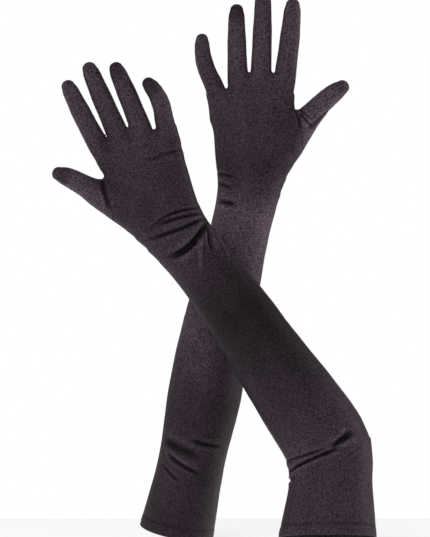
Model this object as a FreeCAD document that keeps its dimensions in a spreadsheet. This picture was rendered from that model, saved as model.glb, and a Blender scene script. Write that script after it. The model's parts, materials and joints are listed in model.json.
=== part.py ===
"""A pair of over-the-elbow opera gloves in stretch satin, worn-shaped and crossed at the forearms.

Millimetres and degrees. +Z is up, +X is to the right as seen from -Y, -Y is the side the palms face.
The origin is on the floor under the pair. The left glove passes in front (-Y) of the right one.
Each glove is a chain of cloth tubes: upper sleeve, forearm sleeve, hand, thumb and four fingers.
Every tube is drawn about its own +Z axis, starting at the joint nearer the shoulder, then placed.
"""

import FreeCAD, Part
import os
from FreeCAD import Placement, Rotation, Vector

X_AXIS, Y_AXIS, Z_AXIS = Vector(1, 0, 0), Vector(0, 1, 0), Vector(0, 0, 1)

# Driving dimensions. "wide" and "thin" are the two half-widths of a tube's oval section.
SIZES = {
    "cloth": 0.6,                # thickness of the satin
    "seam_slack": 0.15,          # clearance between two sewn pieces
    "hinge_slack": 0.3,          # clearance at a flex line
    "upper_length": 86.0,
    "forearm_length": 264.0,
    "hem_wide": 48.5, "hem_thin": 37.0,
    "elbow_wide": 43.5, "elbow_thin": 35.5,
    "belly_wide": 40.0, "belly_thin": 35.8, "belly_at": 55.0,
    "mid_wide": 33.5, "mid_thin": 29.0, "mid_at": 130.0,
    "slim_wide": 30.0, "slim_thin": 24.0, "slim_at": 215.0,
    "wrist_wide": 31.5, "wrist_thin": 21.0,
    "palm_wide": 39.5, "palm_thin": 18.0, "palm_at": 60.0,
    "knuckle_wide": 43.0, "knuckle_thin": 15.0, "knuckle_at": 122.0,
    "knuckle_slope": 15.0,       # the knuckle line drops towards the little finger
    "knuckle_line": 106.4,       # its height on the hand's middle line
    "palm_drop": 13.0,           # the palm side stops lower, so that a finger can fold on to it
    "thenar_wide": 31.0, "thenar_thin": 19.0, "thenar_length": 58.0,
    "thumb_wide": 14.5, "thumb_thin": 12.5, "thumb_length": 64.0,
    "thumb_out": 54.5, "thumb_up": 70.0,
    "index_wide": 9.8, "index_length": 77.0, "index_out": 31.0, "index_up": 118.0,
    "middle_wide": 10.0, "middle_length": 86.0, "middle_out": 8.5, "middle_up": 119.0,
    "ring_wide": 9.6, "ring_length": 77.0, "ring_out": -14.5, "ring_up": 113.0,
    "little_wide": 8.6, "little_length": 61.0, "little_out": -36.0, "little_up": 102.0,
    "finger_depth": 0.92,        # a finger's depth over its width
    "hem_depth": 14.0, "stitch_height": 11.0, "stitch_gauge": 0.7, "stitch_length": 2.4,
    "fourchette_half": 4.0,      # half the width of the strip in a finger's side
    "fourchette_reach": 0.86,    # how far up the finger it is sewn
    "seam_fin": 2.0, "seam_thread": 1.0,
    "wrist_swing": 60.0, "thumb_fold": 60.0,
}

# How each glove is held. Leans turn a tube's axis from upright towards +X.
POSES = {
    "left": {"elbow": (119.45, -36.7, 92.92), "thumb_side": -1, "upper_lean": 0.0, "hem_facing": 7.0,
             "forearm_lean": -35.5, "hand_lean": -26.5, "curl": 25.0, "thumb_spread": 40.0,
             "splay": {"index": 0.0, "middle": -3.0, "ring": -3.5, "little": -4.0},
             "elbow_fold": 12.0, "elbow_open": 35.0},
    "right": {"elbow": (-17.55, 25.3, 92.92), "thumb_side": 1, "upper_lean": 11.0, "hem_facing": -7.0,
              "forearm_lean": 12.0, "hand_lean": 2.0, "curl": 0.0, "thumb_spread": 45.0,
              "splay": {"index": 3.0, "middle": -0.5, "ring": -2.5, "little": -15.0},
              "elbow_fold": 60.0, "elbow_open": 6.0},
}

# Height up a finger and the share of its base width there: a slim taper that closes in a rounded tip.
FINGER_TAPER = ((0.0, 1.0), (0.5, 0.93), (0.84, 0.8), (0.93, 0.66), (0.98, 0.42), (1.0, 0.18))
THUMB_TAPER = ((0.0, 1.0), (0.3, 0.8), (0.55, 0.68), (0.85, 0.56), (0.95, 0.42), (1.0, 0.15))
FINGERS = ("index", "middle", "ring", "little")
REACH = 140.0                    # cutting blocks stick out this far, well past any tube
OVERRUN = 6.0                    # tubes are drawn this far past a flex line before it trims them
SPARE_SWING = 0.6                # each side of a flex line is cut back this much further than it folds
HEM_STITCHES = 68
COMB_CORE = 30.0                 # the blocks that part the stitches start this far from the axis

doc = FreeCAD.newDocument("opera_gloves")
sheet = doc.addObject("Spreadsheet::Sheet", "Sizes")
for row, (alias, value) in enumerate(SIZES.items(), start=1):
    sheet.set(f"A{row}", alias)
    sheet.set(f"B{row}", str(value))
    sheet.setAlias(f"B{row}", alias)
doc.recompute()


def size(alias):
    """A driving dimension, read from the sheet."""
    return float(sheet.get(alias))


def turn(axis, angle):
    """A rotation about an axis through the origin."""
    return Placement(Vector(), Rotation(axis, angle))


def shift(x, y, z):
    """A move without a rotation."""
    return Placement(Vector(x, y, z), Rotation())


def oval(across, deep, height):
    """An oval section; across, deep and height are expressions in the sheet's cells."""
    section = doc.addObject("Part::Ellipse", "Section")
    section.setExpression("MajorRadius", f"max({across}; {deep})")
    section.setExpression("MinorRadius", f"min({across}; {deep})")
    section.setExpression("Placement.Base.z", height)
    doc.recompute([section])
    if sheet.evalExpression(f"{deep} - ({across})") > 0:
        section.Placement.Rotation = Rotation(Z_AXIS, 90)
    return section


def loft(stations, shrink="0"):
    """A solid through (across, deep, height) stations, made smaller all round by shrink."""
    tube = doc.addObject("Part::Loft", "Loft")
    tube.Sections = [oval(f"{a} - ({shrink})", f"{d} - ({shrink})", z) for a, d, z in stations]
    tube.Solid = True
    tube.Ruled = True
    return tube


def block(low, high):
    """A box between two corners given as expressions."""
    box = doc.addObject("Part::Box", "Block")
    for prop, start, end in zip(("Length", "Width", "Height"), low, high):
        box.setExpression(prop, f"{end} - ({start})")
    for letter, start in zip("xyz", low):
        box.setExpression(f"Placement.Base.{letter}", start)
    return box


def cut(base, tool):
    """base without tool."""
    result = doc.addObject("Part::Cut", "Cut")
    result.Base = base
    result.Tool = tool
    return result


def common(base, tool):
    """What base and tool share."""
    result = doc.addObject("Part::Common", "Common")
    result.Base = base
    result.Tool = tool
    return result


def fuse(*shapes):
    """Several solids as one."""
    result = doc.addObject("Part::MultiFuse", "Fusion")
    result.Shapes = list(shapes)
    return result


def open_tube(stations, shrink="0", wall="Sizes.cloth"):
    """A cloth tube through the stations, open at both ends."""
    inner = loft(stations, f"{shrink} + {wall}")
    return cut(loft(stations, shrink), inner)


def closed_tube(stations):
    """A cloth tube that is closed at its last station."""
    inner = [(a, d, z) for a, d, z in stations[:-1]]
    return cut(loft(stations), loft(inner, "Sizes.cloth"))


def clearance(corner):
    """A large block to cut away, drawn from its low corner."""
    box = doc.addObject("Part::Box", "Clearance")
    box.Length = box.Width = 2 * REACH
    box.Height = REACH
    box.Placement = corner
    return box


def flex_line(hinge, axis, swings, side):
    """Everything past a flex line, as a solid to cut away.

    hinge is the line's own frame, and axis (X or Y) its direction there. side is 1 for what lies
    above the line and -1 for what lies below. The cut slopes away by swings[0] on the flank at
    +X (or at -Y, for a line along X) and by swings[1] on the other, so that the tubes on the two
    sides of the line can fold towards each other by twice that angle."""
    slack = size("hinge_slack")
    bottom = -slack if side > 0 else slack - REACH
    low_corner = shift(-REACH, -REACH, bottom)
    slopes = [turn(axis, side * flank * swing) for swing, flank in zip(swings, (1, -1))]
    return fuse(*[clearance(hinge * slope * low_corner) for slope in slopes])


def cell(alias):
    """The expression that reads a cell of the sheet."""
    return f"Sizes.{alias}"


def node(name, shape, frame):
    """A finished sub-part with its name and its place."""
    shape.Label = name
    shape.Placement = frame
    sub_parts.append(shape)


def arm_station(name, height, turned):
    """A station of the arm. A turned arm shows its thin side to the front."""
    wide, thin = cell(f"{name}_wide"), cell(f"{name}_thin")
    return (thin, wide, height) if turned else (wide, thin, height)


def sleeve_seam(stations, start, end, outer_side, ends):
    """The sewn allowance inside a tube, along its little-finger flank, trimmed as the tube is."""
    shrink = f"{cell('cloth')} + {cell('seam_slack')}"
    layer = cut(open_tube(stations, shrink, cell("seam_fin")), ends)
    half = f"{cell('seam_thread')} / 2"
    flank = (f"{-REACH}", "0") if outer_side < 0 else ("0", f"{REACH}")
    return common(layer, block((flank[0], f"-{half}", start), (flank[1], half, end)))


def build_upper_sleeve(side_name, pose, frame, elbow, swings):
    """The sleeve above the elbow, with its turned hem, the hem's stitches and the side seam."""
    turned = pose["thumb_side"] > 0
    outer_side = -pose["thumb_side"]
    top = f"{cell('upper_length')} + {OVERRUN}"
    stations = [arm_station("hem", "0", turned), arm_station("elbow", top, turned)]
    past_elbow = flex_line(elbow, Y_AXIS, swings, 1)
    node(f"{side_name}_upper_sleeve", cut(open_tube(stations), past_elbow), frame)
    seam = sleeve_seam(stations, f"{cell('hem_depth')} + 1", top, outer_side, past_elbow)
    node(f"{side_name}_upper_side_seam", seam, frame)

    def on_taper(height):
        share = f"({height}) / ({top})"
        return [f"{low} + ({high} - {low}) * {share}" for low, high in zip(*[s[:2] for s in stations])]

    hem_stations = [stations[0], (*on_taper(cell("hem_depth")), cell("hem_depth"))]
    band = open_tube(hem_stations, f"{cell('cloth')} + {cell('seam_slack')}")
    node(f"{side_name}_hem_band", band, frame)

    level, gauge = cell("stitch_height"), cell("stitch_gauge")
    across, deep = on_taper(level)
    row = [(across, deep, f"{level} - {gauge} / 2"), (across, deep, f"{level} + {gauge} / 2")]
    thread = open_tube(row, f"-({gauge} + {cell('seam_slack')})", gauge)
    node(f"{side_name}_hem_stitches", common(thread, stitch_comb()), frame)


def stitch_comb():
    """Radial blocks that leave a ring of thread only where it shows as a stitch."""
    teeth = []
    for number in range(HEM_STITCHES):
        tooth = doc.addObject("Part::Box", "Tooth")
        tooth.Length = REACH
        tooth.setExpression("Width", cell("stitch_length"))
        tooth.Height = REACH
        corner = shift(COMB_CORE, -size("stitch_length") / 2, -REACH / 2)
        tooth.Placement = turn(Z_AXIS, 360 * number / HEM_STITCHES) * corner
        teeth.append(tooth)
    comb = doc.addObject("Part::Compound", "Comb")
    comb.Links = teeth
    return comb


def build_forearm(side_name, pose, frame, upper_tilt, elbow_swings, hand_tilt):
    """The sleeve between the elbow and the wrist, and its side seam."""
    turned = pose["thumb_side"] > 0
    top = f"{cell('forearm_length')} + {OVERRUN}"
    stations = [
        arm_station("elbow", f"-{OVERRUN}", turned),
        arm_station("belly", cell("belly_at"), turned),
        arm_station("mid", cell("mid_at"), False),
        arm_station("slim", cell("slim_at"), False),
        arm_station("wrist", top, False),
    ]
    below_elbow = flex_line(turn(Y_AXIS, -upper_tilt / 2), Y_AXIS, elbow_swings, -1)
    wrist = shift(0, 0, size("forearm_length")) * turn(Y_AXIS, hand_tilt / 2)
    past_wrist = flex_line(wrist, X_AXIS, (size("wrist_swing") / 2,) * 2, 1)
    ends = fuse(below_elbow, past_wrist)
    node(f"{side_name}_forearm_sleeve", cut(open_tube(stations), ends), frame)
    seam = sleeve_seam(stations, f"-{OVERRUN}", top, -pose["thumb_side"], ends)
    node(f"{side_name}_forearm_side_seam", seam, frame)


def build_hand(side_name, pose, frame, hand_tilt, thumb_place, thumb_swings):
    """The trank: palm and back of the hand in one, open at the wrist, the thumb and the fingers."""
    side = pose["thumb_side"]
    stations = [
        (cell("wrist_wide"), cell("wrist_thin"), f"-{OVERRUN}"),
        (cell("palm_wide"), cell("palm_thin"), cell("palm_at")),
        (cell("knuckle_wide"), cell("knuckle_thin"), cell("knuckle_at")),
    ]
    thenar = [
        (cell("thenar_wide"), cell("thenar_thin"), f"-{cell('thenar_length')}"),
        (cell("thumb_wide"), cell("thumb_thin"), f"{OVERRUN}"),
    ]
    thenar_outer, thenar_inner = loft(thenar), loft(thenar, cell("cloth"))
    thumb_end = flex_line(turn(X_AXIS, pose["curl"] / 2), X_AXIS, thumb_swings, 1)
    mound = cut(thenar_outer, thumb_end)
    mound.Placement = thumb_place
    thenar_inner.Placement = thumb_place
    shell = cut(fuse(loft(stations), mound), fuse(loft(stations, cell("cloth")), thenar_inner))

    below_wrist = flex_line(turn(Y_AXIS, -hand_tilt / 2), X_AXIS, (size("wrist_swing") / 2,) * 2, -1)
    knuckles = shift(0, 0, size("knuckle_line")) * turn(Y_AXIS, -side * size("knuckle_slope"))
    back_top = clearance(knuckles * shift(-REACH, -REACH, 0))
    palm_top = clearance(knuckles * shift(-REACH, -2 * REACH, -size("palm_drop")))
    ends = fuse(below_wrist, back_top, palm_top)
    node(f"{side_name}_hand", cut(shell, ends), frame)
    seam = sleeve_seam(stations, f"-{OVERRUN}", cell("knuckle_at"), -side, ends)
    node(f"{side_name}_hand_side_seam", seam, frame)

    thread = open_tube(thenar, f"-({cell('seam_slack')} + {cell('stitch_gauge')})", cell("stitch_gauge"))
    lower = shift(0, 0, -size("seam_thread")) * turn(X_AXIS, pose["curl"] / 2)
    ring = common(cut(thread, thumb_end), flex_line(lower, X_AXIS, thumb_swings, 1))
    clear_of_hand = loft(stations, f"-{cell('seam_slack')}")
    clear_of_hand.Placement = thumb_place.inverse()
    node(f"{side_name}_thumb_seam", cut(ring, clear_of_hand), frame * thumb_place)


def taper_stations(name, depth, taper):
    """The stations of a digit from its base to its tip."""
    wide, length = cell(f"{name}_wide"), cell(f"{name}_length")
    return [(f"{wide} * {share}", f"{depth} * {share}", f"{length} * {up}") for up, share in taper]


def build_thumb(side_name, pose, frame, thumb_swings):
    """The thumb piece, a closed tube that is sewn into the trank."""
    tube = closed_tube(taper_stations("thumb", cell("thumb_thin"), THUMB_TAPER))
    base = flex_line(turn(X_AXIS, -pose["curl"] / 2), X_AXIS, thumb_swings, -1)
    node(f"{side_name}_thumb", cut(tube, base), frame)


def build_finger(side_name, name, gap_sides, frame):
    """A finger of the trank and the fourchettes sewn into the flanks that face other fingers."""
    depth = f"{cell(name + '_wide')} * {cell('finger_depth')}"
    tube = closed_tube(taper_stations(name, depth, FINGER_TAPER))
    half, slack = cell("fourchette_half"), cell("seam_slack")
    top = f"{cell(name + '_length')} * {cell('fourchette_reach')}"
    slots = []
    for side, neighbour in gap_sides:
        low, high = ("0", f"{REACH}") if side > 0 else (f"-{REACH}", "0")
        strip = block((low, f"-{half}", "-1"), (high, half, top))
        slot_half = f"{half} + {slack}"
        slots.append(block((low, f"-({slot_half})", "-1"), (high, slot_half, f"{top} + {slack}")))
        node(f"{side_name}_{name}_fourchette_{neighbour}_side", common(tube, strip), frame)
    slot = slots[0] if len(slots) == 1 else fuse(*slots)
    node(f"{side_name}_{name}_finger", cut(tube, slot), frame)


def build_glove(side_name, pose):
    """One glove, from the arm opening to the fingertips."""
    side = pose["thumb_side"]
    elbow_point = shift(*pose["elbow"])
    upper_turn = turn(Y_AXIS, pose["upper_lean"]) * turn(X_AXIS, -pose["hem_facing"])
    upper = elbow_point * upper_turn * shift(0, 0, -size("upper_length"))
    forearm = elbow_point * turn(Y_AXIS, pose["forearm_lean"])
    wrist_point = (forearm * shift(0, 0, size("forearm_length"))).Base
    hand = Placement(wrist_point, Rotation(Y_AXIS, pose["hand_lean"]))

    elbow_bend = pose["forearm_lean"] - pose["upper_lean"]
    hand_tilt = pose["hand_lean"] - pose["forearm_lean"]
    elbow_swings = (pose["elbow_open"] / 2 + SPARE_SWING, pose["elbow_fold"] / 2 + SPARE_SWING)
    elbow = elbow_point * turn(Y_AXIS, pose["upper_lean"] + elbow_bend / 2)
    build_upper_sleeve(side_name, pose, upper, upper.inverse() * elbow, elbow_swings)
    build_forearm(side_name, pose, forearm, elbow_bend, elbow_swings, hand_tilt)

    spread = turn(Y_AXIS, side * pose["thumb_spread"])
    thumb_place = shift(side * size("thumb_out"), 0, size("thumb_up")) * spread
    thumb_swings = ((size("thumb_fold") - pose["curl"]) / 2 + SPARE_SWING, pose["curl"] / 2 + 5)
    build_hand(side_name, pose, hand, hand_tilt, thumb_place, thumb_swings)
    curl = turn(X_AXIS, pose["curl"])
    build_thumb(side_name, pose, hand * thumb_place * curl, thumb_swings)

    for number, name in enumerate(FINGERS):
        knuckle = shift(side * size(f"{name}_out"), 0, size(f"{name}_up"))
        splay = turn(Y_AXIS, side * pose["splay"][name])
        gap_sides = []
        if number > 0:
            gap_sides.append((side, FINGERS[number - 1]))
        if number < len(FINGERS) - 1:
            gap_sides.append((-side, FINGERS[number + 1]))
        start = shift(0, 0, size("hinge_slack"))
        build_finger(side_name, name, gap_sides, hand * knuckle * splay * curl * start)


def check_document():
    """Stops on a failed object or a bad sub-part."""
    for item in doc.Objects:
        if {"Invalid", "Error"} & set(item.State):
            raise RuntimeError(f"{item.Name} ({item.Label}) failed: {item.State}")
    for sub_part in sub_parts:
        shape = sub_part.Shape
        if shape.isNull() or not shape.isValid() or not shape.Solids:
            raise RuntimeError(f"{sub_part.Label} has no valid solid")


sub_parts = []
for glove_name, glove_pose in POSES.items():
    build_glove(glove_name, glove_pose)
doc.recompute()
check_document()
os.makedirs("parts", exist_ok=True)
for sub_part in sub_parts:
    sub_part.Shape.exportStep(f"parts/{sub_part.Label}.step")
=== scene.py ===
"""The looks of a pair of over-the-elbow satin opera gloves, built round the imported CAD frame.

Everything is in metres in the frame's own axes. Each glove is drawn as one smooth field round the
arm, the hand and the digits, meshed once, creased, cut into its sewn pieces and given thickness.
"""
import json
import math

import bmesh
import bpy
import numpy as np
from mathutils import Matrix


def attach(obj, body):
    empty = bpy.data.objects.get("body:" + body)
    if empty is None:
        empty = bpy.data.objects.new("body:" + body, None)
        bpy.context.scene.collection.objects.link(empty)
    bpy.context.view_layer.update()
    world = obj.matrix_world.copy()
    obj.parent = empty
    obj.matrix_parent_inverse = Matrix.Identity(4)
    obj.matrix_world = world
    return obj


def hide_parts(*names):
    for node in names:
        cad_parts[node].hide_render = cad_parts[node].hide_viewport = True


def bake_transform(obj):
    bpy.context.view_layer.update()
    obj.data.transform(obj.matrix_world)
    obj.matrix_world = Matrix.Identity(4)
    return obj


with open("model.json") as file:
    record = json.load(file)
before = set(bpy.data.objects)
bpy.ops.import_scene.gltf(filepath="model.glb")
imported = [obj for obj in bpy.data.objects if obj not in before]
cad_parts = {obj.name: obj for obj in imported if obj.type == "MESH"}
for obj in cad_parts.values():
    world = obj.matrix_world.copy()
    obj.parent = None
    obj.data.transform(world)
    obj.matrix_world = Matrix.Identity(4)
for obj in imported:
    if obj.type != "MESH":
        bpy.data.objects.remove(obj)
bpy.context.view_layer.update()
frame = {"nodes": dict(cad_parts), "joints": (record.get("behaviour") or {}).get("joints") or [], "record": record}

import openvdb
from mathutils import Vector, noise
from mathutils.bvhtree import BVHTree
from numpy.linalg import norm

MM = 0.001
VOXEL = 1.5 * MM
CLOTH = 0.6 * MM
FINGERS = ("index", "middle", "ring", "little")
DIGIT_NAMES = FINGERS + ("thumb",)
FULL_FOLD = {"finger": 90, "thumb": 60}  # degrees from straight to a digit's upper limit
DEEP = np.array([0.0, 1.0, 0.0])  # away from the viewer
HEM_ROW = 11.0  # mm from the hem to its row of stitches

joints = {joint["name"]: joint for joint in frame["joints"]}
mounts = {mount["name"]: mount for mount in frame["record"]["mounts"]}


def unit(vector):
    """The vector at length 1."""
    return vector / norm(vector)


def rotate(vector, axis, degrees):
    """A vector turned about a unit axis."""
    angle = math.radians(degrees)
    along = axis * (vector @ axis) * (1 - math.cos(angle))
    return vector * math.cos(angle) + np.cross(axis, vector) * math.sin(angle) + along


# ---- the body of one glove

class Glove:
    """Where one glove's flex lines are and how its tubes run between them."""

    def __init__(self, name):
        self.name = name
        self.hem = np.array(mounts[f"{name}_arm_opening"]["pos_m"])
        self.elbow = np.array(joints[f"{name}_elbow"]["pos_m"])
        self.wrist = np.array(joints[f"{name}_wrist"]["pos_m"])
        self.upper_axis = unit(self.elbow - self.hem)
        self.fore_axis = unit(self.wrist - self.elbow)
        knuckles = [np.array(joints[f"{name}_{f}_knuckle"]["pos_m"]) for f in FINGERS]
        self.hand_axis = unit((knuckles[1] + knuckles[2]) / 2 - self.wrist)
        thumb = np.array(joints[f"{name}_thumb_base"]["pos_m"])
        self.side = 1.0 if thumb[0] > self.wrist[0] else -1.0
        self.hand_across = self.side * np.cross(DEEP, self.hand_axis)
        self.upper_length = norm(self.elbow - self.hem)
        self.fore_length = norm(self.wrist - self.elbow)
        self.digits = {digit: Digit(name, digit) for digit in DIGIT_NAMES}

    def in_hand(self, across, along, deep=0.0):
        """A point given in the hand's own frame, in millimetres from the wrist."""
        offset = across * self.hand_across + along * self.hand_axis + deep * DEEP
        return self.wrist + offset * MM


class Digit:
    """A finger or thumb: its base, the way it points, its length and its hinge."""

    def __init__(self, glove_name, name):
        finger = name in FINGERS
        joint = joints[f"{glove_name}_{name}_{'knuckle' if finger else 'base'}"]
        node = frame["nodes"][f"{glove_name}_{name}{'_finger' if finger else ''}"]
        self.name = name
        self.base = np.array(joint["pos_m"])
        self.hinge = unit(np.array(joint["axis"]))
        self.curl = FULL_FOLD["finger" if finger else "thumb"] - joint["range_deg"][1]
        straight = unit(np.cross(self.hinge, DEEP))
        self.straight = straight if straight[2] > 0 else -straight
        self.axis = rotate(self.straight, self.hinge, self.curl)
        self.palmward = rotate(-DEEP, self.hinge, self.curl)
        points = np.array([v.co for v in node.data.vertices])
        self.length = float(((points - self.base) @ self.axis).max())


# ---- smooth solid fields

def smooth_table(stations, samples=160):
    """Stations (height, value, value, ...) joined by a smooth curve: heights and values."""
    table = np.array(stations, float)
    heights = table[:, 0]
    fine = np.linspace(heights[0], heights[-1], samples)
    slopes = np.gradient(table[:, 1:], heights, axis=0)
    left = np.clip(np.searchsorted(heights, fine, side="right") - 1, 0, len(heights) - 2)
    gap = heights[left + 1] - heights[left]
    share = ((fine - heights[left]) / gap)[:, None]
    gap = gap[:, None]
    low, high = table[left, 1:], table[left + 1, 1:]
    bend_low, bend_high = slopes[left] * gap, slopes[left + 1] * gap
    square, cube = share ** 2, share ** 3
    values = (
        (2 * cube - 3 * square + 1) * low
        + (cube - 2 * square + share) * bend_low
        + (3 * square - 2 * cube) * high
        + (cube - square) * bend_high
    )
    return fine, values


def soft_union(first, second, blend):
    """Two fields as one, run together over a few millimetres."""
    soft = blend * MM
    mix = np.clip(0.5 + 0.5 * (first - second) / soft, 0, 1)
    return first * (1 - mix) + second * mix - soft * mix * (1 - mix)


class Field:
    """A signed distance field on a grid, negative inside, grown by smooth unions of swept tubes."""

    FAR = 20 * MM

    def __init__(self, low, high):
        self.low = low
        counts = np.ceil((high - low) / VOXEL).astype(int) + 1
        self.ticks = [low[i] + VOXEL * np.arange(counts[i]) for i in range(3)]
        self.values = np.full(counts, self.FAR, np.float32)

    def window(self, points, margin):
        """The part of the grid within a margin of some points."""
        spans = zip(self.ticks, points.min(0) - margin, points.max(0) + margin)
        return tuple(slice(np.searchsorted(ticks, low, "right"), np.searchsorted(ticks, high))
                     for ticks, low, high in spans)

    def sweep(self, path, side, stations, blend, cap):
        """Joins a tube that follows a mitred path. Stations are (distance along the path, half-width
        away from side, half-width towards side, half depth) in mm; side is +1 or -1 along +X. It
        blends in over blend mm, and its ends bulge by cap of its radius."""
        heights, shape = (values * MM for values in smooth_table(stations))
        path = np.array(path)
        axes = [unit(path[i + 1] - path[i]) for i in range(len(path) - 1)]
        starts = np.concatenate([[0], np.cumsum(norm(np.diff(path, axis=0), axis=1))])
        first = path[0] + axes[0] * min(heights[0], 0)
        last = path[-1] + axes[-1] * max(heights[-1] - starts[-1], 0)
        window = self.window(np.vstack([path, first, last]), shape.max() * 1.1 + blend * MM + 4 * MM)
        grid = np.meshgrid(*[self.ticks[i][window[i]] for i in range(3)], indexing="ij", sparse=True)

        def reached(origin, way):
            """How far each grid point lies from a point in one direction."""
            return sum((ticks - start) * share for ticks, start, share in zip(grid, origin, way))

        for number, axis in enumerate(axes):
            origin = path[number]
            across = side * unit(np.cross(DEEP, axis))
            deep = np.cross(axis, across)
            along, lateral, depth = reached(origin, axis), reached(origin, across), reached(origin, deep)
            along = along + starts[number]
            held = np.clip(along, heights[0], heights[-1])
            past = along - held
            minus, plus, half = (np.interp(held, heights, shape[:, i]).astype(np.float32) for i in range(3))
            lateral = lateral - (plus - minus) / 2
            width = (plus + minus) / 2
            square = (lateral / width) ** 2 + (depth / half) ** 2
            ratio = np.sqrt(square + (past / (cap * np.minimum(width, half))) ** 2) + 1e-6
            reach = np.sqrt(lateral ** 2 + depth ** 2 + past ** 2)
            distance = np.maximum(reach * (1 - 1 / ratio), -np.minimum(width, half))
            if number > 0:
                mitre = unit(axes[number - 1] + axis)
                distance = np.where(reached(origin, mitre) > 0, distance, joined)
            joined = distance.astype(np.float32)
        self.values[window] = soft_union(self.values[window], joined, blend)

    def mesh(self):
        """The field's zero surface as points and outward quads."""
        grid = openvdb.FloatGrid(self.FAR)
        grid.copyFromArray(np.clip(self.values, -self.FAR, self.FAR))
        points, quads = grid.convertToQuads(isovalue=0.0)
        points = points.astype(float) * VOXEL + self.low
        quads = quads.astype(int)
        if (quad_normals(points, quads) * (points[quads].mean(1) - points.mean(0))).sum() < 0:
            quads = quads[:, ::-1]
        return points, quads


def quad_normals(points, quads):
    """A normal for each quad, twice as long as its area."""
    corners = points[quads]
    return np.cross(corners[:, 2] - corners[:, 0], corners[:, 3] - corners[:, 1])


def gathered(places, vectors, count):
    """The sum of the vectors that belong to each of count places."""
    return np.stack([np.bincount(places, column, count) for column in vectors.T], axis=1)


def smooth(points, quads, rounds):
    """Evens the surface out and keeps its volume: each pass shrinks and then swells it."""
    edges = np.concatenate([quads[:, [i, (i + 1) % 4]] for i in range(4)])
    edges = np.concatenate([edges, edges[:, ::-1]])
    count = np.bincount(edges[:, 0], minlength=len(points))[:, None]
    for step in range(rounds):
        for strength in (0.5, -0.52):
            total = gathered(edges[:, 0], points[edges[:, 1]], len(points))
            points = points + strength * (total / count - points)
    return points


def surface_normals(points, quads):
    """Area-weighted normals at the points."""
    normals = gathered(quads.ravel(), np.repeat(quad_normals(points, quads), 4, axis=0), len(points))
    return normals / np.maximum(norm(normals, axis=1), 1e-12)[:, None]


# ---- the shape of each glove

# Stations in mm along the arm and hand: (distance from the hem, half-width on the little finger's
# side, half-width on the thumb's side, half depth).
ARM_SHAPE = {
    "left": (
        (-16, 45, 54.5, 37.6), (0, 44.2, 53, 37), (30, 41.6, 47, 36.2), (55, 40.2, 43, 35.6),
        (86, 42, 45, 35), (112, 43, 41.6, 35.2), (141, 42.3, 39.8, 35), (176, 40.3, 36.5, 32.5),
        (216, 38.2, 32.6, 29), (256, 37, 30, 26.5), (300, 34, 28.2, 23.6), (330, 32, 30.8, 21.6),
        (350, 31.4, 34.8, 21), (362, 31.8, 39.6, 20.6), (376, 32.6, 43.4, 19.6), (392, 35, 43.6, 18.4),
        (408, 37.2, 41, 16.6), (420, 38.4, 40, 14.8), (434, 39.6, 39.6, 12.2), (446, 39.8, 38.6, 10),
    ),
    "right": (
        (-16, 41, 37, 49), (0, 39, 36, 48), (30, 35.6, 34.6, 46), (60, 33.2, 33.6, 44),
        (86, 33.4, 33.8, 43), (112, 35.4, 35.2, 42), (141, 37.4, 36, 39.5), (176, 38, 34, 35),
        (216, 36.4, 33, 29.5), (256, 33.6, 31.2, 26.5), (300, 30.4, 29.6, 23.6), (330, 29.8, 30.2, 21.6),
        (350, 30.6, 33, 21), (360, 31.2, 36.4, 20.6), (374, 32.6, 41, 19.6), (392, 34.6, 43, 18.4),
        (408, 36.2, 41.5, 16.6), (420, 37.4, 41.8, 14.8), (434, 38.8, 42.6, 12.2), (446, 39.8, 42.8, 10),
    ),
}
# (share of the finger's length, share of its base half-width)
FINGER_TAPER = (
    (-0.34, 0.8), (-0.1, 1), (0.1, 1), (0.28, 0.955), (0.42, 0.945), (0.52, 0.93),
    (0.64, 0.87), (0.76, 0.83), (0.86, 0.77), (0.92, 0.66),
)
# Each digit's (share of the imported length, lean in degrees and shift in mm towards the thumb's
# side, bow in degrees with the tip towards that side, base half-width in mm).
DIGITS = {
    "left": {
        "index": (0.93, 0.2, 0.1, -2, 10.2), "middle": (0.905, -0.2, 0, -1, 10.7),
        "ring": (0.925, -0.2, -0.1, 2, 10.4), "little": (0.87, 1.4, -1, 29, 9.6),
        "thumb": (0.83, -3, -1, 9, 14),
    },
    "right": {
        "index": (1, 1, 1.6, -3, 10.8), "middle": (1, 0, -0.3, -1, 10.4),
        "ring": (0.965, -0.3, -0.4, 2, 10.2), "little": (0.93, -0.5, -0.8, 26, 9.4),
        "thumb": (0.94, 0, 0, 14, 14.4),
    },
}
# The web between two fingers: (across, along) of its edge in mm in the hand.
WEBS = {
    "left": ((17.4, 115.8), (-5.6, 117.5), (-26.8, 100.8)),
    "right": ((21.4, 119.5), (-2.6, 119.5), (-28, 103)),
}
# The thumb's stations, like the arm's, from the base of its first link.
THUMB_SHAPE = (
    (-40, 20, 18.6, 17), (-26, 20.5, 18.8, 17), (-12, 17.5, 15.6, 15), (0, 14.8, 12.8, 13.2),
    (12, 12.6, 10.8, 12), (24, 11.2, 9.8, 11), (38, 10.4, 9.2, 9.8), (49, 9.2, 8.4, 8.6),
    (57, 7, 6.8, 6.6),
)
THUMB_ROOT = (17, 28, -4)  # (across, along, deep) in mm in the hand, inside the palm
# (share of the web's length, half-width, half-width, half depth)
WEB_SHAPE = ((0, 10, 10, 11), (0.6, 10, 10, 9.2), (1, 8.5, 8.5, 7.8))
WEB_RUN = (72, 5)  # mm past the wrist where the webs' tubes start, and mm short of their edge
PALM_END = 96  # mm past the wrist where the arm's tube ends
FINGER_DEPTH = 0.93  # a finger's half depth as a share of its half-width
PALM_BEND = 12.0  # degrees that a digit bends towards the palm from root to tip
DIGIT_LINKS = ((0.38, -0.5), (0.3, 0), (0.32, 0.5))  # (share of the length, share of the bend)
FIELD_ROOM = (62, 30, 14)  # mm of field round the glove's lines, below the hem and above the tips
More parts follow.
